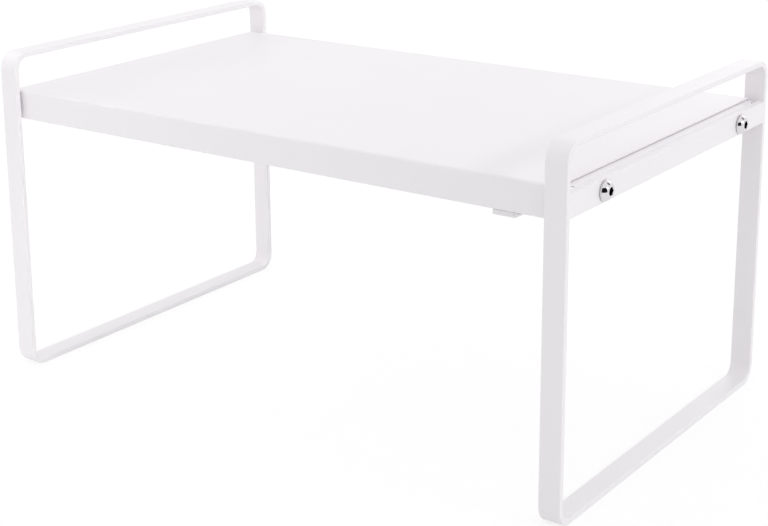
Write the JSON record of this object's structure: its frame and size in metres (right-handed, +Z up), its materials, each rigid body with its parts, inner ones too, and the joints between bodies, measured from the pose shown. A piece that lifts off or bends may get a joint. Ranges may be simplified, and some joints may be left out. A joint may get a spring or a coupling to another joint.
{
  "type": "pull-out cabinet shelf",
  "caption": "Free-standing cabinet shelf on closed bar loops, whose nested sheet-metal boards slide apart lengthwise to make the shelf longer.",
  "frame": {"origin": "on the floor, under the middle of the closed shelf", "axes": "+X along the shelf, the way the inner half pulls out; -Y to the front long side; +Z up"},
  "size_m": [0.3774, 0.225, 0.19],
  "materials": {
    "white_powder_coat": "satin white powder coat on steel",
    "bright_nickel": "bright nickel plate on steel",
    "zinc_plate": "dull zinc plate on steel",
    "white_nylon": "moulded white nylon"
  },
  "bodies": {
    "fixed_half": {"left_loop": "white_powder_coat", "left_cross_bar": "white_powder_coat", "outer_board": "white_powder_coat", "left_screw_front": "bright_nickel", "left_screw_rear": "bright_nickel", "left_nut_front": "zinc_plate", "left_nut_rear": "zinc_plate", "guide_front": "white_nylon", "guide_rear": "white_nylon"},
    "pull_out_half": {"right_loop": "white_powder_coat", "right_cross_bar": "white_powder_coat", "inner_board": "white_powder_coat", "right_screw_front": "bright_nickel", "right_screw_rear": "bright_nickel", "right_nut_front": "zinc_plate", "right_nut_rear": "zinc_plate", "rib_front": "white_powder_coat", "rib_rear": "white_powder_coat", "shoe_front": "white_nylon", "shoe_rear": "white_nylon", "stop_stud_front": "zinc_plate", "stop_stud_rear": "zinc_plate"}
  },
  "joints": [
    {"name": "pull_out_slide", "type": "slide", "parent": "fixed_half", "child": "pull_out_half", "axis": [1, 0, 0], "range_m": [0, 0.24]}
  ]
}
